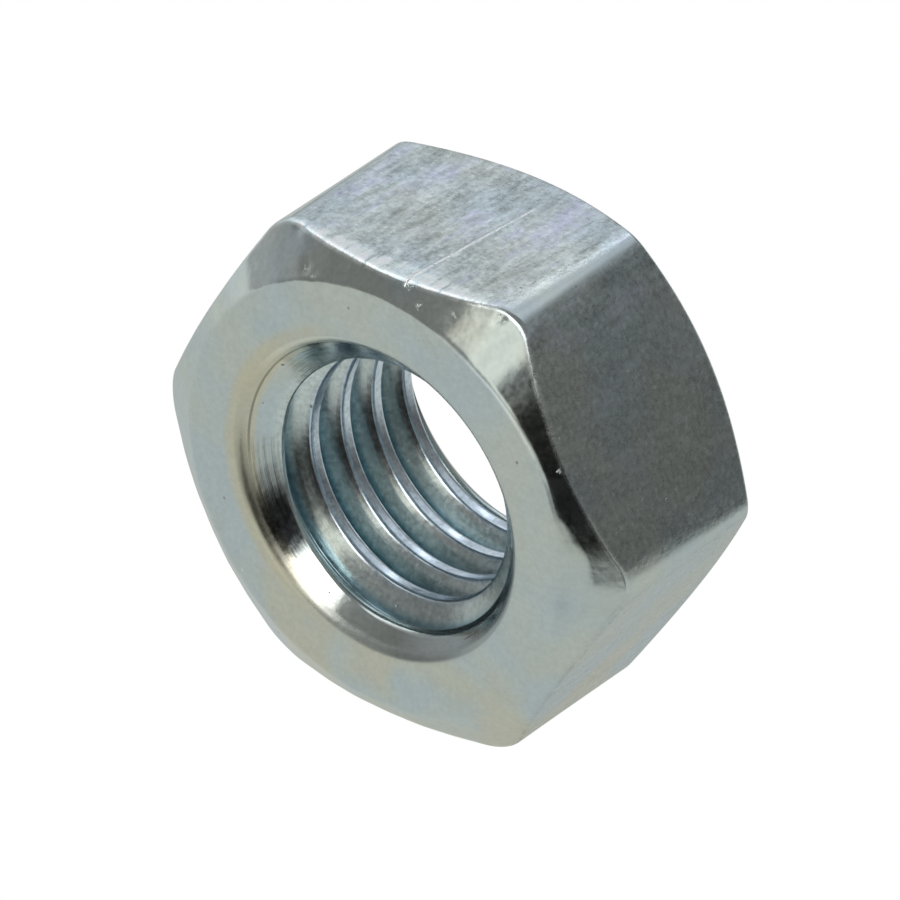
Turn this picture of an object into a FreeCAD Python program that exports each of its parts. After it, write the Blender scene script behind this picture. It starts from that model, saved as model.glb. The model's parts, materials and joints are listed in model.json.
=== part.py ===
import FreeCAD, Part
import math
import os
import Sketcher
from FreeCAD import Vector

# M8 coarse hex nut: one cold-forged and tapped piece of steel, with a right-hand thread.
#
# The frame is in millimetres. Its origin is on the thread axis at mid-thickness, +Y runs along
# the thread from the front face to the back face, +Z is the outward normal of the upper flat,
# and X runs from corner to corner.

SUB_PART = "hex_nut"

# Driving dimensions: alias, value, meaning. Lengths are in millimetres, angles in degrees.
DRIVING = [
    ("across_flats", 13.0, "distance between opposite flats"),
    ("thickness", 6.65, "front face to back face"),
    ("corner_round", 0.6, "radius of the six forged corners"),
    ("front_circle", 11.9, "diameter of the front face inside its chamfer"),
    ("front_chamfer", 33.0, "angle of the front chamfer from the face"),
    ("back_circle", 12.1, "diameter of the back face inside its chamfer"),
    ("back_chamfer", 36.0, "angle of the back chamfer from the face"),
    ("front_mouth", 8.8, "diameter of the front countersink at its face"),
    ("back_mouth", 8.6, "diameter of the back countersink at its face"),
    ("countersink_slope", 45.0, "angle of both countersinks from the axis"),
    ("minor_diameter", 6.7, "bore left at the thread crests"),
    ("major_diameter", 8.1, "diameter at the thread roots, with tap clearance"),
    ("pitch", 1.25, "advance of the thread in one turn"),
    ("flank_slope", 30.0, "angle of each thread flank from the radial direction"),
    ("thread_start", 260.0, "turn of the whole thread about its axis"),
    ("clearance", 0.5, "how far each cutter reaches past the metal it removes"),
]

# Formulas on the sheet's cells that several features share.
CORNER_RADIUS = "(dims.across_flats / 2 / cos(30))"
HALF_THICKNESS = "(dims.thickness / 2)"
TRIM_RADIUS = f"({CORNER_RADIUS} + dims.clearance)"
BORE_RADIUS = "(dims.minor_diameter / 2)"
SINK_RADIUS = f"({BORE_RADIUS} - dims.clearance)"


def fill_sheet(doc):
    """Makes the sheet that every sketch and feature reads its sizes from."""
    sheet = doc.addObject("Spreadsheet::Sheet", "dims")
    for row, (alias, value, meaning) in enumerate(DRIVING, start=1):
        sheet.set(f"A{row}", meaning)
        sheet.set(f"B{row}", str(value))
        sheet.setAlias(f"B{row}", alias)
    doc.recompute()


def new_sketch(body, name, plane_role):
    """Starts a sketch on one of the body's own origin planes."""
    plane = next(item for item in body.Origin.OriginFeatures if item.Role == plane_role)
    sketch = body.newObject("Sketcher::SketchObject", name)
    sketch.AttachmentSupport = [(plane, "")]
    sketch.MapMode = "FlatFace"
    return sketch


def dimension(sketch, name, kind, refs, formula):
    """Adds a named driving dimension to a sketch and ties it to the sheet."""
    index = sketch.addConstraint(Sketcher.Constraint(kind, *refs, 1.0))
    sketch.renameConstraint(index, name)
    sketch.setExpression(f"Constraints.{name}", formula)


def outline(sketch, corners):
    """Draws a closed outline; each corner is a pair of formulas, one for each sketch axis."""
    count = len(corners)
    rough = [Vector(math.cos(turn), math.sin(turn), 0) for turn in range(count)]
    for index in range(count):
        sketch.addGeometry(Part.LineSegment(rough[index], rough[(index + 1) % count]), False)
    for index, (across, up) in enumerate(corners):
        before = (index - 1) % count
        sketch.addConstraint(Sketcher.Constraint("Coincident", before, 2, index, 1))
        dimension(sketch, f"across_{index}", "DistanceX", (index, 1), across)
        dimension(sketch, f"up_{index}", "DistanceY", (index, 1), up)


def circle_of_two_arcs(sketch, radius):
    """Draws a circle about the origin as an upper and a lower half arc."""
    rough = Part.Circle(Vector(0, 0, 0), Vector(0, 0, 1), 1.0)
    sketch.addGeometry(Part.ArcOfCircle(rough, 0, math.pi), False)
    sketch.addGeometry(Part.ArcOfCircle(rough, math.pi, 2 * math.pi), False)
    for arc in (0, 1):
        sketch.addConstraint(Sketcher.Constraint("Coincident", arc, 3, -1, 1))
        sketch.addConstraint(Sketcher.Constraint("PointOnObject", arc, 1, -1))
    sketch.addConstraint(Sketcher.Constraint("Coincident", 0, 2, 1, 1))
    sketch.addConstraint(Sketcher.Constraint("Coincident", 1, 2, 0, 1))
    dimension(sketch, "radius", "Radius", (0,), radius)


def pad_blank(body):
    """The hexagonal blank, centred on the origin."""
    corner, half = CORNER_RADIUS, f"({CORNER_RADIUS} / 2)"
    flat = "(dims.across_flats / 2)"
    sketch = new_sketch(body, "hexagon", "XZ_Plane")
    outline(sketch, [
        (corner, "0"),
        (half, flat),
        (f"-{half}", flat),
        (f"-{corner}", "0"),
        (f"-{half}", f"-{flat}"),
        (half, f"-{flat}"),
    ])
    pad = body.newObject("PartDesign::Pad", "blank")
    pad.Profile = sketch
    pad.SideType = "Symmetric"
    pad.setExpression("Length", "dims.thickness")
    return pad


def round_corners(body, blank):
    """Rounds the six corners of the blank, which run along Y."""
    along_y = [
        f"Edge{number}"
        for number, edge in enumerate(blank.Shape.Edges, start=1)
        if abs(edge.tangentAt(edge.FirstParameter).y) > 0.999
    ]
    rounds = body.newObject("PartDesign::Fillet", "corner_rounds")
    rounds.Base = (blank, along_y)
    rounds.setExpression("Radius", "dims.corner_round")
    return rounds


def turn_groove(body, name, corners):
    """Turns an outline of (along Y, radius) formulas once about the thread axis and removes it."""
    sketch = new_sketch(body, f"{name}_outline", "YZ_Plane")
    outline(sketch, corners)
    groove = body.newObject("PartDesign::Groove", name)
    groove.Profile = sketch
    groove.ReferenceAxis = (sketch, ["H_Axis"])
    groove.Angle = 360.0
    groove.Refine = False
    return groove


def trim_corners(body, end, side):
    """Turns the conical chamfer that cuts the six corners at one end; side is its sign along Y."""
    circle, slope = f"(dims.{end}_circle / 2)", f"tan(dims.{end}_chamfer)"
    depth = f"({TRIM_RADIUS} - {circle}) * {slope}"
    return turn_groove(body, f"{end}_trim", [
        (f"{side}{HALF_THICKNESS}", circle),
        (f"{side}({HALF_THICKNESS} - {depth})", TRIM_RADIUS),
        (f"{side}{HALF_THICKNESS}", TRIM_RADIUS),
    ])


def countersink(body, end, side):
    """Turns the countersink at one end of the hole; side is its sign along Y."""
    mouth = f"(dims.{end}_mouth / 2)"
    depth = f"({mouth} - {SINK_RADIUS}) / tan(dims.countersink_slope)"
    return turn_groove(body, f"{end}_countersink", [
        (f"{side}{HALF_THICKNESS}", mouth),
        (f"{side}({HALF_THICKNESS} - {depth})", SINK_RADIUS),
        (f"{side}{HALF_THICKNESS}", SINK_RADIUS),
    ])


def pocket_bore(body):
    """The plain bore before tapping, cut through both faces as two half walls."""
    sketch = new_sketch(body, "bore_circle", "XZ_Plane")
    circle_of_two_arcs(sketch, BORE_RADIUS)
    bore = body.newObject("PartDesign::Pocket", "bore")
    bore.Profile = sketch
    bore.SideType = "Symmetric"
    bore.setExpression("Length", "dims.thickness + 2 * dims.clearance")
    bore.Refine = False
    return bore


def tap_thread(body):
    """The thread groove: a tooth outline swept on a right-hand helix that overruns both faces."""
    foot, root = SINK_RADIUS, "(dims.major_diameter / 2)"
    overrun = "(1.5 * dims.pitch)"
    place = f"({overrun} + {HALF_THICKNESS} - dims.pitch * dims.thread_start / 360)"
    crest_land = "(dims.pitch / 4)"
    half_foot = f"((dims.pitch - {crest_land}) / 2 + dims.clearance * tan(dims.flank_slope))"
    half_root = f"({half_foot} - ({root} - {foot}) * tan(dims.flank_slope))"
    sketch = new_sketch(body, "tap_tooth", "YZ_Plane")
    outline(sketch, [
        (f"-{place} - {half_foot}", foot),
        (f"-{place} + {half_foot}", foot),
        (f"-{place} + {half_root}", root),
        (f"-{place} - {half_root}", root),
    ])
    tap = body.newObject("PartDesign::SubtractiveHelix", "tapped_thread")
    tap.Profile = sketch
    tap.ReferenceAxis = (sketch, ["H_Axis"])
    tap.Mode = "pitch-height-angle"
    tap.setExpression("Pitch", "dims.pitch")
    tap.setExpression("Height", f"dims.thickness + 2 * {overrun}")
    tap.LeftHanded = False
    tap.HasBeenEdited = True
    tap.Refine = False
    return tap


def recompute(doc):
    """Recomputes the document and stops at any feature that failed."""
    doc.recompute()
    failed = [item.Name for item in doc.Objects if {"Invalid", "Error"} & set(item.State)]
    if failed:
        raise RuntimeError(f"failed features: {failed}")


def require_smaller(doc, feature, volume_before):
    """Recomputes after a cut, and stops if it took nothing away or left a broken solid."""
    recompute(doc)
    volume = feature.Shape.Volume
    print(f"{feature.Name}: {volume:.2f} cubic millimetres")
    if volume >= volume_before or not feature.Shape.isValid():
        raise RuntimeError(f"{feature.Name} cut nothing or broke the solid")
    return volume


def build():
    doc = FreeCAD.newDocument("hex_nut_design")
    fill_sheet(doc)
    body = doc.addObject("PartDesign::Body", SUB_PART)
    body.Label = SUB_PART
    body.Placement = FreeCAD.Placement()
    blank = pad_blank(body)
    recompute(doc)
    volume = blank.Shape.Volume
    volume = require_smaller(doc, round_corners(body, blank), volume)
    for end, side in (("front", "-"), ("back", "")):
        volume = require_smaller(doc, trim_corners(body, end, side), volume)
    for end, side in (("front", "-"), ("back", "")):
        volume = require_smaller(doc, countersink(body, end, side), volume)
    volume = require_smaller(doc, pocket_bore(body), volume)
    volume = require_smaller(doc, tap_thread(body), volume)
    shape = body.Shape
    if shape.isNull() or not shape.isValid() or len(shape.Solids) != 1:
        raise RuntimeError(f"{SUB_PART} is not one valid solid")
    os.makedirs("parts", exist_ok=True)
    shape.exportStep(f"parts/{body.Label}.step")
    box = shape.optimalBoundingBox()
    print(f"{SUB_PART}: {box.XLength:.3f} x {box.YLength:.3f} x {box.ZLength:.3f}, {len(shape.Faces)} faces")


build()
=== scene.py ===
import json
import math

import bpy
import numpy as np
from mathutils import Matrix, Vector


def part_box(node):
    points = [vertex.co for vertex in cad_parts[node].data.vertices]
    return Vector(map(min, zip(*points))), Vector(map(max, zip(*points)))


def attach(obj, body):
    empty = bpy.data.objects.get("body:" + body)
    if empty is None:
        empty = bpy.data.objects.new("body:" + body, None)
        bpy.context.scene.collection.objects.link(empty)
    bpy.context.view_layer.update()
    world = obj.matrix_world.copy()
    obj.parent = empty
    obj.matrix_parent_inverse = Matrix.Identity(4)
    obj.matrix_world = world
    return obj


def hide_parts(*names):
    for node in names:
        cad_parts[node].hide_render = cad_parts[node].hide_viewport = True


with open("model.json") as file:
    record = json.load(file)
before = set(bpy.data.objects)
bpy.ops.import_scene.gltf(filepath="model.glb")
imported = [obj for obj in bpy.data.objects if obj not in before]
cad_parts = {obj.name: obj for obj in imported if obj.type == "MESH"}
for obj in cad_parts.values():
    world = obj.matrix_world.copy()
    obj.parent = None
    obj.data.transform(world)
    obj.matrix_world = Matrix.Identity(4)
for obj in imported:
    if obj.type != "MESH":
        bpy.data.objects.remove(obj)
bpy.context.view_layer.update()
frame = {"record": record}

# A zinc-plated M8 hex nut on a light table. Everything is in metres, in the part's own frame:
# the thread runs along Y with the front face towards -Y, and the upper flat faces +Z.
# Turns are angles about the thread axis, measured from +Z towards +X.

MM = 0.001
SIXTH = math.radians(60)

# Sizes taken from the frame.
nut_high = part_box("hex_nut")[1]
mounts = {mount["name"]: mount for mount in frame["record"]["mounts"]}
HALF_FLATS = nut_high.z
HALF_THICK = nut_high.y
CREST_RADIUS = mounts["thread"]["dims"]["r_mm"] * MM

# Sizes of the forged blank. One front corner is worn: its chamfer starts on a longer bend.
FRONT_CIRCLE = 5.93 * MM
FRONT_CHAMFER = math.radians(33)
BACK_CIRCLE = 6.03 * MM
BACK_CHAMFER = math.radians(36)
FRONT_CORNER_ROUND = 1.3 * MM
EDGE_WAVER = 0.025 * MM
BACK_CORNER_ROUND = 0.62 * MM
WORN_CORNER = math.radians(89)
WORN_SPAN = math.radians(20)
WORN_REACH = 0.6 * MM

# Sizes of the tapped hole.
FRONT_MOUTH = 4.44 * MM
BACK_MOUTH = 4.3 * MM
ROOT_RADIUS = 4.05 * MM
PITCH = 1.25 * MM
CREST_LAND = 0.35 * MM
FLANK_SLOPE = math.radians(30)
CREST_AT_TOP = 0.078 * MM
RUN_OUT_SOFTNESS = 0.06 * MM
CREST_BEND = 0.08 * MM
ROOT_BEND = 0.04 * MM

# Dents from handling, in millimetres: middle, width and depth.
DENTS = [
    (-2.34, -3.14, 5.78, 0.26, 0.030),
    (-2.05, -3.20, 5.70, 0.16, 0.018),
    (0.80, -2.96, 6.46, 0.34, 0.028),
    (1.27, -3.14, 6.10, 0.22, 0.028),
    (2.15, -3.02, 6.12, 0.18, 0.012),
    (3.30, -2.56, 6.28, 0.20, 0.022),
    (-3.05, -2.66, 6.45, 0.30, 0.040),
    (5.55, -3.10, 3.05, 0.16, 0.008),
    (6.35, -3.00, 1.75, 0.14, 0.008),
    (-4.30, -3.25, -3.90, 0.20, 0.012),
    (2.10, 3.10, 6.20, 0.24, 0.030),
    (-5.60, 3.05, 3.10, 0.22, 0.025),
    (0.40, 3.20, -6.05, 0.20, 0.020),
]

# The bends along the outside, from the front countersink's rim to the back one's.
FRONT_RIM_BEND = 0.18 * MM
FRONT_CIRCLE_BEND = 0.16 * MM
FRONT_EDGE_BEND = 0.12 * MM
BACK_EDGE_BEND = 0.07 * MM
BACK_CIRCLE_BEND = 0.16 * MM
BACK_RIM_BEND = 0.12 * MM

# How finely the nut's skin is divided: its columns, then the points of each bend and each run.
FLAT_COLUMNS = 60
CORNER_COLUMNS = 20
CORNER_SPAN = math.radians(12.5)
BEND_STEPS = [6, 9, 5, 5, 6, 6]
RUN_STEPS = [4, 9, 8, 16, 8, 9, 4]
THREAD_BEND_STEPS = [4, 3]
THREAD_RUN_STEPS = [1, 2, 0]
SNAP_SHARE = 0.2


def bend(start, corner, end, steps):
    """Points on a smooth bend from start to end whose sides meet at corner."""
    share = np.linspace(0, 1, steps)[:, None, None]
    return (1 - share) ** 2 * start + 2 * share * (1 - share) * corner + share ** 2 * end


def run(start, end, steps):
    """Points strictly between start and end, closest together near both ends."""
    share = (1 - np.cos(np.linspace(0, math.pi, steps + 2)[1:-1])) / 2
    return start + share[:, None, None] * (end - start)


def bent_outline(corners, reaches, bend_steps, run_steps):
    """Rows of points along an outline of corners, with each inner corner bent off over its reach."""
    rows = [corners[0][None]]
    left = corners[0]
    for index in range(1, len(corners) - 1):
        corner = corners[index]
        before = corner - left
        after = corners[index + 1] - corner
        start = corner - before / np.linalg.norm(before, axis=1, keepdims=True) * reaches[index - 1]
        end = corner + after / np.linalg.norm(after, axis=1, keepdims=True) * reaches[index - 1]
        rows.append(run(left, start, run_steps[index - 1]))
        rows.append(bend(start, corner, end, bend_steps[index - 1]))
        left = end
    rows.append(run(left, corners[-1], run_steps[-1]))
    rows.append(corners[-1][None])
    return np.concatenate(rows)


def column_turns():
    """Turns of the skin's columns: even across each flat, and closer together round each corner."""
    flat_span = SIXTH - CORNER_SPAN
    on_flat = np.linspace(-flat_span / 2, flat_span / 2, FLAT_COLUMNS, endpoint=False)
    on_corner = np.linspace(flat_span / 2, flat_span / 2 + CORNER_SPAN, CORNER_COLUMNS, endpoint=False)
    sixth = np.concatenate([on_flat, on_corner])
    return np.concatenate([sixth + SIXTH * side for side in range(6)])


def hexagon_radius(turns, corner_round):
    """Distance from the axis to the rounded hexagon in each direction."""
    off_flat = (turns + SIXTH / 2) % SIXTH - SIXTH / 2
    off_corner = SIXTH / 2 - np.abs(off_flat)
    centre = (HALF_FLATS - corner_round) / math.cos(SIXTH / 2)
    inside = np.maximum(corner_round ** 2 - (centre * np.sin(off_corner)) ** 2, 0)
    on_round = centre * np.cos(off_corner) + np.sqrt(inside)
    on_flat = HALF_FLATS / np.cos(off_flat)
    round_from = math.atan(math.tan(SIXTH / 2) * (1 - corner_round / HALF_FLATS))
    return np.where(np.abs(off_flat) > round_from, on_round, on_flat)


def waver(turns):
    """The slight unevenness of a forged edge, from -1 to 1 round the nut."""
    return 0.45 * np.sin(7 * turns + 1) + 0.35 * np.sin(17 * turns + 2) + 0.2 * np.sin(41 * turns)


def blank_rows(turns):
    """Rows of (radius, place along Y) from the front countersink round the outside to the back one."""
    front_corner = hexagon_radius(turns, FRONT_CORNER_ROUND)
    back_corner = hexagon_radius(turns, BACK_CORNER_ROUND)
    even = np.ones_like(turns)
    front_circle = FRONT_CIRCLE + EDGE_WAVER * waver(turns)
    sink = ROOT_RADIUS + 2 * RUN_OUT_SOFTNESS
    corners = [
        (sink * even, (FRONT_MOUTH - sink - HALF_THICK) * even),
        (FRONT_MOUTH * even, -HALF_THICK * even),
        (front_circle, -HALF_THICK * even),
        (front_corner, (front_corner - front_circle) * math.tan(FRONT_CHAMFER) - HALF_THICK),
        (back_corner, HALF_THICK - (back_corner - BACK_CIRCLE) * math.tan(BACK_CHAMFER)),
        (BACK_CIRCLE * even, HALF_THICK * even),
        (BACK_MOUTH * even, HALF_THICK * even),
        (sink * even, (HALF_THICK - BACK_MOUTH + sink) * even),
    ]
    corners = [np.stack(corner, axis=1) for corner in corners]
    worn = np.maximum(1 - ((turns - WORN_CORNER) / WORN_SPAN) ** 2, 0) ** 2
    reaches = [
        FRONT_RIM_BEND,
        (FRONT_CIRCLE_BEND + WORN_REACH * worn)[:, None],
        FRONT_EDGE_BEND,
        BACK_EDGE_BEND,
        BACK_CIRCLE_BEND,
        BACK_RIM_BEND,
    ]
    return bent_outline(corners, reaches, BEND_STEPS, RUN_STEPS)


def thread_stations():
    """One pitch of the thread: places along Y from the middle of a crest, and the radius at each."""
    half_crest = CREST_LAND / 2
    flank = (ROOT_RADIUS - CREST_RADIUS) * math.tan(FLANK_SLOPE)
    corners = [
        (0, CREST_RADIUS),
        (half_crest, CREST_RADIUS),
        (half_crest + flank, ROOT_RADIUS),
        (PITCH / 2, ROOT_RADIUS),
    ]
    corners = [np.array([corner], dtype=float) for corner in corners]
    half = bent_outline(corners, [CREST_BEND, ROOT_BEND], THREAD_BEND_STEPS, THREAD_RUN_STEPS)[:, 0]
    other = half[-2:0:-1] * [-1, 1] + [PITCH, 0]
    return np.concatenate([half, other])


def soft_max(first, second, softness):
    """The larger of two heights, with a small round where they cross."""
    gap = np.maximum(softness - np.abs(first - second), 0) / softness
    return np.maximum(first, second) + gap ** 2 * softness / 4


def hole_radius(along, thread):
    """Radius of the hole where the thread's own radius is given: the countersinks cut it away."""
    front = FRONT_MOUTH - (along + HALF_THICK)
    back = BACK_MOUTH - (HALF_THICK - along)
    return soft_max(thread, np.maximum(front, back), RUN_OUT_SOFTNESS)


def press_dents(places):
    """Presses the small handling dents into the skin, each towards the nut's centre."""
    for x, y, z, width, depth in DENTS:
        middle = np.array([x, y, z]) * MM
        near = np.linalg.norm(places - middle, axis=1) / (width * MM)
        push = np.maximum(1 - near ** 2, 0) ** 2 * depth * MM
        places -= push[:, None] * middle / np.linalg.norm(middle)
    return places


def nut_skin():
    """Vertices and faces of the nut: rows round the outside, and a thread whose rows follow its helix."""
    turns = column_turns()
    columns = len(turns)
    outside = blank_rows(turns)
    rows = len(outside)
    front_ring = outside[0, 0, 1]
    back_ring = outside[-1, 0, 1]

    stations = thread_stations()
    per_pitch = len(stations)
    first_pitch = math.floor((front_ring - CREST_AT_TOP) / PITCH) - 1
    last_pitch = math.ceil((back_ring - CREST_AT_TOP) / PITCH) + 1
    pitches = np.arange(first_pitch, last_pitch + 1)
    helix = (CREST_AT_TOP + PITCH * pitches[:, None] + stations[None, :, 0]).ravel()
    crest = np.tile(stations[:, 1], len(pitches))
    along = helix[None, :] + PITCH * turns[:, None] / math.tau
    radius = hole_radius(along, crest[None, :])

    row_turns = np.repeat(turns[:, None], rows, 1)
    outer_points = np.stack([outside[:, :, 0].T, outside[:, :, 1].T, row_turns], axis=2)
    outer_id = np.arange(columns * rows).reshape(columns, rows)
    snap = SNAP_SHARE * PITCH / per_pitch
    inner = (along > front_ring + snap) & (along < back_ring - snap)
    inner_id = np.where(along < 0, outer_id[:, :1], outer_id[:, -1:])
    inner_id[inner] = columns * rows + np.arange(inner.sum())
    helix_turns = np.repeat(turns[:, None], len(helix), 1)
    inner_points = np.stack([radius[inner], along[inner], helix_turns[inner]], axis=1)
    from_axis, along_axis, turn = np.concatenate([outer_points.reshape(-1, 3), inner_points]).T
    places = np.stack([from_axis * np.sin(turn), along_axis, from_axis * np.cos(turn)], axis=1)

    faces = []
    for column in range(columns):
        onward = (column + 1) % columns
        here, there = outer_id[column], outer_id[onward]
        faces += list(zip(here[:-1], here[1:], there[1:], there[:-1]))
        here = inner_id[column]
        if onward:
            there = inner_id[onward]
        else:
            there = np.concatenate([inner_id[0, per_pitch:], np.full(per_pitch, outer_id[0, -1])])
        faces += list(zip(here[:-1], there[:-1], there[1:], here[1:]))
    return press_dents(places), faces


def clean_faces(faces):
    """Faces with repeated neighbours dropped, and those with fewer than three corners left out."""
    kept = []
    for face in faces:
        face = [int(corner) for index, corner in enumerate(face) if corner != face[index - 1]]
        if len(set(face)) >= 3:
            kept.append(face)
    return kept


def make_nut():
    places, faces = nut_skin()
    mesh = bpy.data.meshes.new("nut_body")
    mesh.from_pydata(places.tolist(), [], clean_faces(faces))
    mesh.validate()
    mesh.shade_smooth()
    nut = bpy.data.objects.new("nut_body", mesh)
    bpy.context.scene.collection.objects.link(nut)
    return nut


class Link:
    """An output socket of a shader node that takes part in Python arithmetic."""

    def __init__(self, recipe, socket):
        self.recipe = recipe
        self.socket = socket

    def math(self, operation, *values):
        sockets = dict(enumerate(values))
        return self.recipe.node("Math", {"operation": operation}, sockets)

    def __add__(self, other):
        return self.math("ADD", self, other)

    def __radd__(self, other):
        return self.math("ADD", other, self)

    def __sub__(self, other):
        return self.math("SUBTRACT", self, other)

    def __rsub__(self, other):
        return self.math("SUBTRACT", other, self)

    def __mul__(self, other):
        return self.math("MULTIPLY", self, other)

    def __rmul__(self, other):
        return self.math("MULTIPLY", other, self)

    def __pow__(self, other):
        return self.math("POWER", self, other)

    def __abs__(self):
        return self.math("ABSOLUTE", self)


class Recipe:
    """A node tree that is being written."""

    def __init__(self, tree):
        self.tree = tree
        tree.nodes.clear()

    def node(self, kind, settings=None, sockets=None, output=0):
        """Adds a node: its settings first, then the values or links of its sockets."""
        made = self.tree.nodes.new("ShaderNode" + kind)
        for name, value in (settings or {}).items():
            setattr(made, name, value)
        for name, value in (sockets or {}).items():
            if isinstance(value, Link):
                self.tree.links.new(value.socket, made.inputs[name])
            else:
                made.inputs[name].default_value = value
        return Link(self, made.outputs[output]) if made.outputs else None

    def larger(self, first, second):
        return self.node("Math", {"operation": "MAXIMUM"}, {0: first, 1: second})

    def step(self, value, low, high):
        """0 below low, 1 above high and smooth between; high may be the smaller of the two."""
        settings = {"interpolation_type": "SMOOTHSTEP"}
        sockets = {"Value": value, "From Min": low, "From Max": high}
        return self.node("MapRange", settings, sockets)

    def mix(self, share, first, second):
        """A blend of two colours."""
        return self.node("Mix", {"data_type": "RGBA"}, {0: share, 6: first, 7: second}, 2)

    def vector(self, operation, first, second, output=0):
        """A vector operation on two vectors; output 1 is the one for a plain number."""
        return self.node("VectorMath", {"operation": operation}, {0: first, 1: second}, output)

    def scaled(self, vector, size):
        """A vector or colour times a number."""
        return self.node("VectorMath", {"operation": "SCALE"}, {0: vector, "Scale": size})

    def noise(self, place, scale, detail, roughness=0.5):
        sockets = {"Vector": place, "Scale": scale, "Detail": detail, "Roughness": roughness}
        return self.node("TexNoise", {}, sockets)


# Colours of the plating under its clear blue passivate.
COOL = (0.62, 0.70, 0.73, 1)
NEUTRAL = (0.67, 0.71, 0.68, 1)
LILAC = (0.64, 0.65, 0.82, 1)
STRAW = (0.74, 0.68, 0.51, 1)
CREST_BLUE = (0.72, 0.81, 0.90, 1)
FLANK_GREY = (0.73, 0.81, 0.81, 1)
ROOT_TEAL = (0.38, 0.60, 0.69, 1)

# Where the plate's areas are, in millimetres. Each pair is where the area starts and where it is full.
# Across is the distance from the axis towards the nearest flat, depth is from the nearer face, and
# height is along Z.
FLAT_ACROSS = (6.42, 6.49)
HOLE_RADIUS = (4.50, 4.42)
THREAD_RADIUS = (4.16, 3.95)
THREAD_DEPTH = (0.5, 0.9)
CREST_RADII = (3.50, 3.36)
FLANK_RADII = (3.40, 3.52)
ROOT_RADII = (3.70, 4.00)
# The thread's roots, darkened by grime and painted shade.
ROOT_GRIME_AND_SHADE_RADII = (3.80, 4.03)
STRAW_RIM_OUTSIDE = (4.95, 4.62)
STRAW_RIM_INSIDE = (4.04, 4.16)
DULL_RIM_OUTSIDE = (4.60, 4.48)
DULL_RIM_INSIDE = (4.20, 4.28)
UPPER_HEIGHT = (4.5, 6.3)
TOP_HEIGHT = (6.3, 6.45)
# Where the front edges' bright line of wear and painted highlight lies.
WEAR_AND_HIGHLIGHT_ACROSS = (6.36, 6.44)
HEM_ACROSS = (6.34, 6.42)

# The scratch along the upper flat: where it crosses the middle, how far it leans, and its edges.
SCRATCH_AT = 0.86
SCRATCH_LEAN = 0.075
SCRATCH_EDGES = (0.055, 0.015)

# The ring where the tap's lead-in ends: its radius and its edges.
RING_RADIUS = 4.21
RING_EDGES = (0.035, 0.01)

# How fine each pattern is, in repeats per millimetre.
CLOUD_SCALE = 0.35
RIPPLE_SCALE = 0.9
PATCH_SCALE = 1.3
PIT_SCALE = 1.3
STREAK_SCALE = 4
SPECKLE_SCALE = 7
TURNED_SCALE = 9


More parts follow.
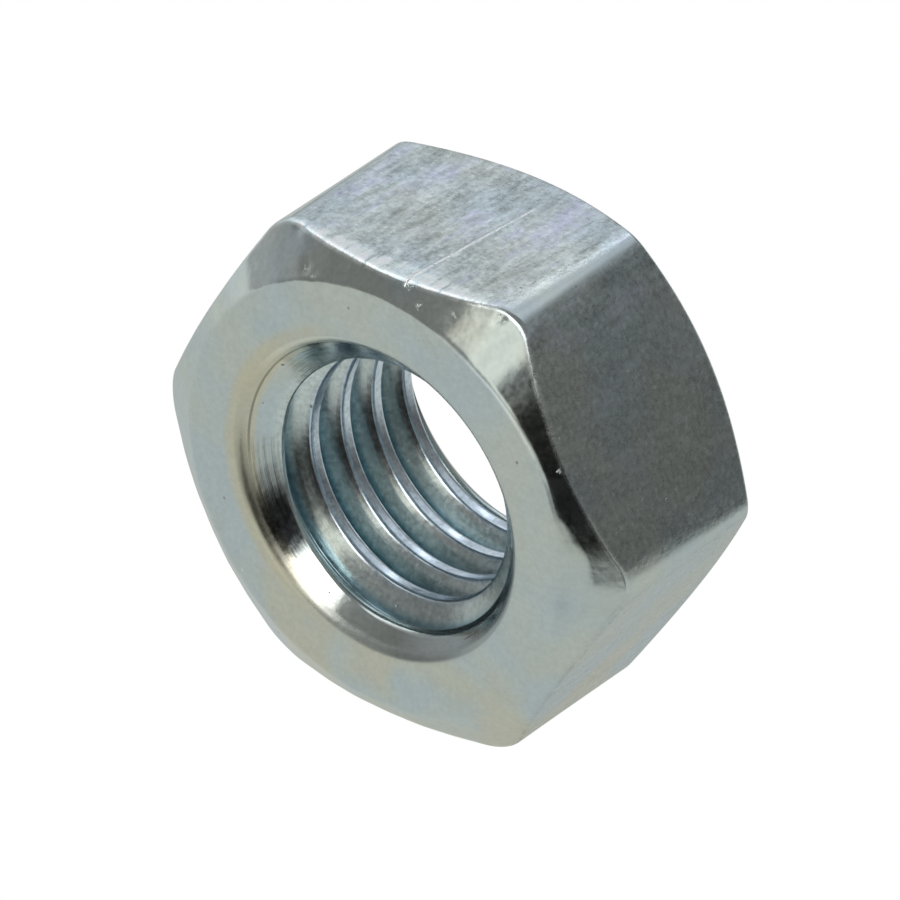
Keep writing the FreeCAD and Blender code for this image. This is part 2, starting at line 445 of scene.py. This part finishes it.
def zinc_plate():
    """Bright zinc plate: smooth on the faces, mottled on the flats, turned rings in the countersinks."""
    material = bpy.data.materials.new("zinc_plate")
    material.use_nodes = True
    recipe = Recipe(material.node_tree)

    place = recipe.scaled(recipe.node("TexCoord", output="Object"), 1 / MM)
    split = recipe.node("SeparateXYZ", {}, {0: place}).socket.node
    x, y, z = [Link(recipe, socket) for socket in split.outputs]
    radius = (x * x + z * z) ** 0.5
    across = recipe.larger(abs(z), abs(x) * math.sin(SIXTH) + abs(z) * math.cos(SIXTH))
    depth = HALF_THICK / MM - abs(y)
    turn = recipe.node("Math", {"operation": "ARCTAN2"}, {0: x, 1: z})
    spun = recipe.node("CombineXYZ", {}, {0: radius, 1: turn * radius, 2: y})

    on_flat = recipe.step(across, *FLAT_ACROSS)
    in_hole = recipe.step(radius, *HOLE_RADIUS)
    in_thread = recipe.step(radius, *THREAD_RADIUS) * recipe.step(depth, *THREAD_DEPTH)
    upper = recipe.step(z, *UPPER_HEIGHT)
    on_top = recipe.step(z, *TOP_HEIGHT)

    # Colour: slow clouds of blue and neutral, lilac on the flats, straw at the left rim and low down,
    # and from blue to teal down the thread.
    clouds = recipe.noise(place, CLOUD_SCALE, 2)
    drawn = recipe.vector("MULTIPLY", place, (1, 0.4, 1))
    patches = recipe.noise(drawn, PATCH_SCALE, 6, 0.66)
    tint = recipe.mix(recipe.step(clouds, 0.38, 0.62), COOL, NEUTRAL)
    lilac = recipe.step(patches, 0.5, 0.72) * on_flat * (0.2 + upper * 0.6)
    tint = recipe.mix(lilac, tint, LILAC)
    rim = recipe.step(radius, *STRAW_RIM_OUTSIDE) * recipe.step(radius, *STRAW_RIM_INSIDE)
    tint = recipe.mix(rim * recipe.step(x, 0, -4) * 0.75, tint, STRAW)
    tint = recipe.mix(in_thread * recipe.step(radius, *CREST_RADII), tint, CREST_BLUE)
    tint = recipe.mix(in_thread * recipe.step(radius, *FLANK_RADII), tint, FLANK_GREY)
    tint = recipe.mix(in_thread * recipe.step(radius, *ROOT_RADII), tint, ROOT_TEAL)
    low_edge = recipe.step(z, -1.5, -5.5) * recipe.step(clouds, 0.42, 0.58) * (1 - in_hole)
    tint = recipe.mix(low_edge * 0.5, tint, STRAW)

    # Shade: fine speckle on the flats, drawn out along the thread's direction.
    along = recipe.vector("MULTIPLY", place, (1, 0.18, 1))
    streaks = recipe.noise(along, STREAK_SCALE, 4, 0.64)
    speckle = recipe.noise(place, SPECKLE_SCALE, 3, 0.62)
    blotches = recipe.step(patches, 0.36, 0.62) - 0.55
    drawn_marks = (streaks - 0.5) * (0.5 + upper * 0.8)
    mottle = blotches * (0.12 + upper * 0.1) + drawn_marks + (speckle - 0.5) * 1.1
    shade = 1.02 + mottle * (on_flat * (0.4 + upper * 0.36) + in_thread * 0.5 + 0.24)

    # Painted light and shade: the flats on the sides grow paler upwards, as the light on them does.
    painted_upward_light = recipe.step(z, 0.3, 5.8) - on_top * 0.5 - 0.5
    shade = shade * (1 + painted_upward_light * on_flat * 0.2)

    # One long scratch along the upper flat, broken here and there, bright flecks on all the flats,
    # and a bright line along the front edges of the upper and the lower flat, partly wear and partly
    # painted highlight.
    off_line = abs(x - (SCRATCH_AT + SCRATCH_LEAN * y)) + (speckle - 0.5) * 0.12
    scratch = recipe.step(off_line, *SCRATCH_EDGES) * on_top
    scratch = scratch * recipe.step(y, 1.8, 1.4) * recipe.step(streaks, 0.36, 0.46)
    flecks = recipe.step(speckle, 0.66, 0.74) * on_flat
    wear_and_highlight = recipe.step(across, *WEAR_AND_HIGHLIGHT_ACROSS) * recipe.step(abs(z), 6.1, 6.3)
    wear_and_highlight = wear_and_highlight * recipe.step(x, 3.2, 2.6) * recipe.step(y, -2.2, -2.5) * recipe.step(streaks, 0.3, 0.5)
    shade = shade + scratch * 0.7 + flecks * 0.3 + wear_and_highlight * 0.45

    # Torn metal in the dents, brighter and rougher than the plate round it.
    torn = 0.0
    for *middle, width, _ in DENTS:
        off = recipe.vector("DISTANCE", place, middle, 1)
        torn = torn + recipe.step(off, width * 0.8, width * 0.2)
    torn = torn * recipe.step(speckle, 0.47, 0.62)
    shade = shade + torn * 0.3

    # Grime and painted shade in the thread's roots and in the ring where the tap's lead-in ends.
    ring = recipe.step(abs(radius - RING_RADIUS), *RING_EDGES) * recipe.step(depth, 0.6, 0.4)
    shade = shade * (1 - ring * recipe.step(z, -1.5, 0.5) * 0.5)
    root = recipe.step(radius, *ROOT_GRIME_AND_SHADE_RADII) * in_thread
    shade = shade * (1 - root * 0.35)

    # A few tiny dark pits: one in some of the cells of a cell pattern.
    cells = recipe.node("TexVoronoi", {}, {"Vector": place, "Scale": PIT_SCALE}).socket.node
    cell_distance = Link(recipe, cells.outputs["Distance"])
    cell_colour = Link(recipe, cells.outputs["Color"])
    chance = recipe.node("SeparateXYZ", {}, {0: cell_colour})
    pits = recipe.step(cell_distance, 0.07, 0.03) * recipe.step(chance, 0.62, 0.66)
    shade = shade * (1 - pits * 0.4)

    # Painted shade low on the right at both ends of the hole, and painted light on the lips at its top.
    painted_low_shade = in_hole * recipe.step(depth, 1.9, 1.3)
    painted_low_shade = painted_low_shade * recipe.step(x, -0.5, 1.5) * recipe.step(z, 0.5, -2.0)
    painted_lip_light = in_hole * recipe.step(depth, 1.1, 0.9) * recipe.step(z, 2.0, 3.2)
    shade = shade * (1 - painted_low_shade * 0.34) + painted_lip_light * 0.2
    colour = recipe.scaled(tint, shade)

    # Roughness: the flats, the countersinks' rims, the dents and the edges on the right are duller.
    dullness = 0.15 + on_flat * 0.14 + (speckle - 0.5) * 0.15 + (patches - 0.5) * 0.12
    dull_rim = recipe.step(radius, *DULL_RIM_OUTSIDE) * recipe.step(radius, *DULL_RIM_INSIDE)
    hem = recipe.step(across, *HEM_ACROSS) * (1 - on_flat) * recipe.step(x, 2.2, 3.0)
    roughness = dullness + in_thread * 0.08 + dull_rim * 0.16 + torn * 0.25 + hem * 0.14

    # Relief: grain and drawn streaks on the flats, slow ripples on the faces, rings in the hole.
    round_axis = recipe.vector("MULTIPLY", spun, (1, 0.02, 1))
    turned = recipe.noise(round_axis, TURNED_SCALE, 2, 0.6) - 0.5
    rings = turned * in_hole * 0.003
    grain = (speckle - 0.5) * 0.012 + (streaks - 0.5) * 0.008 + (patches - 0.5) * 0.030
    ripple = (recipe.noise(place, RIPPLE_SCALE, 3, 0.5) - 0.5) * 0.014 * (1 - on_flat)
    height = grain * (on_flat * 0.94 + 0.06) + ripple + rings + scratch * 0.012 - pits * 0.012
    height = height + torn * (speckle - 0.5) * 0.03
    relief = recipe.node("Bump", {}, {"Strength": 1.0, "Distance": MM, "Height": height})

    shader = recipe.node("BsdfPrincipled", {}, {
        "Base Color": colour,
        "Metallic": 1.0,
        "Roughness": roughness,
        "Normal": relief,
    })
    recipe.node("OutputMaterial", {}, {"Surface": shader})
    return material


TABLE_REACH = 90 * MM


def light_table():
    """A plain white floor that glows evenly. The nut mirrors the studio's pale grey in its place."""
    mesh = bpy.data.meshes.new("light_table")
    level = -HALF_FLATS
    around = [(-1, -1), (1, -1), (1, 1), (-1, 1)]
    corners = [(x * TABLE_REACH, y * TABLE_REACH, level) for x, y in around]
    mesh.from_pydata(corners, [], [(0, 1, 2, 3)])
    table = bpy.data.objects.new("light_table", mesh)
    bpy.context.scene.collection.objects.link(table)
    material = bpy.data.materials.new("light_table")
    material.use_nodes = True
    recipe = Recipe(material.node_tree)
    glow = recipe.node("Emission", {}, {"Strength": 1.0})
    recipe.node("OutputMaterial", {}, {"Surface": glow})
    mesh.materials.append(material)
    table.visible_glossy = False
    table.visible_diffuse = False


def heading(azimuth, elevation):
    """The direction at an azimuth from the front (-Y) towards +X, and an elevation, in degrees."""
    azimuth = math.radians(azimuth)
    elevation = math.radians(elevation)
    return Vector((
        math.sin(azimuth) * math.cos(elevation),
        -math.cos(azimuth) * math.cos(elevation),
        math.sin(elevation),
    ))


# The camera: angles in degrees, and lengths in distances across the nut's flats.
CAMERA_AZIMUTH = 37.87
CAMERA_ELEVATION = 32.74
CAMERA_ROLL = 0.93
CAMERA_DISTANCE = 13.36
CAMERA_SHIFT_RIGHT = -0.0121
CAMERA_SHIFT_UP = -0.0090
FRAME_WIDTH = 1.74014
SENSOR_WIDTH = 36


def place_camera():
    """The camera looks down at the nut from its right, in front, with a long lens and a slight roll."""
    azimuth = math.radians(CAMERA_AZIMUTH)
    roll = math.radians(CAMERA_ROLL)
    across_flats = 2 * HALF_FLATS
    back = heading(CAMERA_AZIMUTH, CAMERA_ELEVATION)
    level_right = Vector((math.cos(azimuth), math.sin(azimuth), 0))
    level_up = back.cross(level_right)
    right = level_right * math.cos(roll) + level_up * math.sin(roll)
    up = level_up * math.cos(roll) - level_right * math.sin(roll)
    data = bpy.data.cameras.new("camera")
    data.sensor_width = SENSOR_WIDTH
    data.lens = CAMERA_DISTANCE * SENSOR_WIDTH / FRAME_WIDTH
    data.clip_start = 0.01
    data.clip_end = 10
    camera = bpy.data.objects.new("camera", data)
    bpy.context.scene.collection.objects.link(camera)
    place = back * CAMERA_DISTANCE + right * CAMERA_SHIFT_RIGHT + up * CAMERA_SHIFT_UP
    place = place * across_flats
    camera.matrix_world = Matrix((
        (right.x, up.x, back.x, place.x),
        (right.y, up.y, back.y, place.y),
        (right.z, up.z, back.z, place.z),
        (0, 0, 0, 1),
    ))
    bpy.context.scene.camera = camera


# What the nut mirrors, in degrees round it: azimuth from the front towards +X, and elevation.
SKY = (0.21, 0.215, 0.21, 1)
TABLE = (0.54, 0.565, 0.54, 1)

# The elevations, in radians, between which the sky gives way to the table.
HORIZON = (-0.03, -0.08)

# Soft boxes: middle azimuth, half width, middle elevation, half height, softness, strength, tint.
SOFT_BOXES = {
    "tent_behind": (-146, 72, 66, 26, 8, 0.46, (0.92, 1.00, 1.08)),
    "tent_low": (-126, 40, 24, 18, 10, 0.30, (0.92, 1.00, 1.08)),
    "tent_top": (-72, 42, 62, 9, 8, 0.95, (0.98, 1.00, 1.03)),
    "lamp_behind": (-158, 6, 41, 6, 4, 1.30, (0.98, 1.02, 1.10)),
    "tent_left": (-98, 36, 20, 30, 14, 0.24, (0.98, 1.00, 1.02)),
    "lamp_front": (15.5, 19.5, 38, 9, 3, 2.80, (1.02, 1.01, 0.98)),
    "window_front": (0.5, 5.5, 15, 13, 4, 0.80, (1.05, 1.02, 0.86)),
    "window_low": (-10, 8, -8, 12, 6, 0.32, (1.04, 1.02, 0.94)),
}

# Dark cards: middle azimuth, half width, middle elevation, half height, softness, share of light left.
DARK_CARDS = {
    "card_front": (27, 17, 2, 25, 4, 0.05),
    "card_side": (37, 10, -8, 24, 3, 0.10),
    "card_low": (0, 12, -22, 6, 5, 0.5),
    "card_right": (100, 50, 3, 19, 6, 0.55),
}


def studio():
    """A pale tent with soft lights in front and behind, and dark cards on the right."""
    scene = bpy.context.scene
    scene.view_settings.view_transform = "Standard"
    world = bpy.data.worlds.new("studio")
    scene.world = world
    world.use_nodes = True
    recipe = Recipe(world.node_tree)
    outward = recipe.node("TexCoord", output="Generated")
    split = recipe.node("SeparateXYZ", {}, {0: outward}).socket.node
    x, y, z = [Link(recipe, socket) for socket in split.outputs]
    azimuth = recipe.node("Math", {"operation": "ARCTAN2"}, {0: x, 1: 0 - y})
    elevation = recipe.node("Math", {"operation": "ARCSINE"}, {0: z})

    def window(middle, half_width, height, half_height, softness):
        """1 inside a soft-edged window of directions, 0 outside it."""
        off = azimuth - math.radians(middle)
        off = recipe.node("Math", {"operation": "WRAP"}, {0: off, 1: math.pi, 2: -math.pi})
        rise = elevation - math.radians(height)
        edge = math.radians(softness)
        side = math.radians(half_width)
        top = math.radians(half_height)
        across = recipe.step(abs(off), side + edge, side - edge)
        upward = recipe.step(abs(rise), top + edge, top - edge)
        return across * upward

    light = recipe.mix(recipe.step(elevation, *HORIZON), SKY, TABLE)
    for *place, strength, tint in SOFT_BOXES.values():
        light = recipe.vector("ADD", light, recipe.scaled(tint, window(*place) * strength))
    for *place, left in DARK_CARDS.values():
        light = recipe.scaled(light, 1 - window(*place) * (1 - left))
    seen = recipe.node("LightPath", output="Is Camera Ray")
    light = recipe.mix(seen, light, (1, 1, 1, 1))
    glow = recipe.node("Background", {}, {"Color": light, "Strength": 1.0})
    recipe.node("OutputWorld", {}, {"Surface": glow})


nut = make_nut()
nut.data.materials.append(zinc_plate())
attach(nut, "root")
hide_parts("hex_nut")
light_table()
place_camera()
studio()
